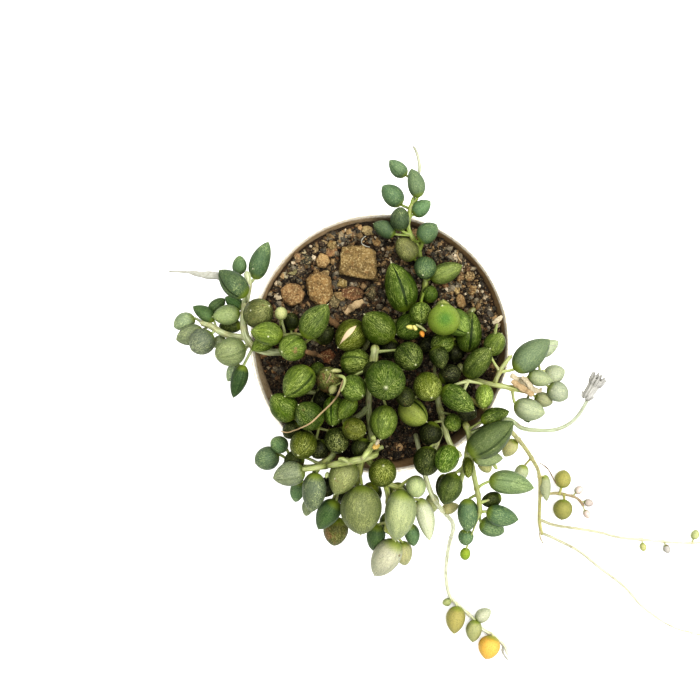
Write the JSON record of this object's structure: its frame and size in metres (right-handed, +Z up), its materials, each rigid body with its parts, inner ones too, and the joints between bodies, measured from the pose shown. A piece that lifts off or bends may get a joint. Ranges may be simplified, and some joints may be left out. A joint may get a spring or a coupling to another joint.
{
  "type": "potted string of pearls",
  "caption": "Small round clay pot filled with soil and stones, with a string of pearls plant heaped over its rim and two long strands lying on the surface.",
  "frame": {"origin": "centre of the pot's flat foot, on the surface that it stands on", "axes": "+Z up along the pot's axis; +X towards the side that the long strands run out to, +Y towards the stem that stands alone at the back"},
  "size_m": [0.1999, 0.1898, 0.1011],
  "materials": {
    "clay": "matt fired clay",
    "soil": "loose gritty potting mix",
    "leaf_green": "waxy leaf with a faint bloom",
    "leaf_deep_green": "waxy leaf with a faint bloom",
    "leaf_blue_green": "waxy leaf with a blue-grey bloom",
    "leaf_sage": "waxy leaf with a pale bloom",
    "leaf_yellow_green": "thin waxy young leaf",
    "dry_stalk": "dry fibrous stalk",
    "tan_stone": "rough grainy stone",
    "red_stone": "rough grainy stone"
  },
  "bodies": {
    "root": {"pot": "clay", "soil": "soil", "stem_north": "leaf_green", "stem_west": "leaf_blue_green", "stem_west_inner": "leaf_green", "stem_heap_north": "leaf_deep_green", "stem_heap_west": "leaf_deep_green", "stem_heap_middle": "leaf_deep_green", "stem_heap_east": "leaf_deep_green", "stem_lime": "leaf_green", "stem_south": "leaf_sage", "stem_south_west": "leaf_blue_green", "stem_east_upper": "leaf_blue_green", "stem_east_lower": "leaf_green", "strand_east": "leaf_yellow_green", "strand_south": "leaf_yellow_green", "dry_tendril": "dry_stalk", "stone_large": "tan_stone", "stone_west": "tan_stone", "stone_far_west": "tan_stone", "stone_red": "red_stone", "stone_pale": "tan_stone", "stone_small_west": "tan_stone", "stone_north": "tan_stone", "stone_chip": "red_stone", "stone_east": "tan_stone", "stone_far_east": "tan_stone"}
  },
  "joints": []
}
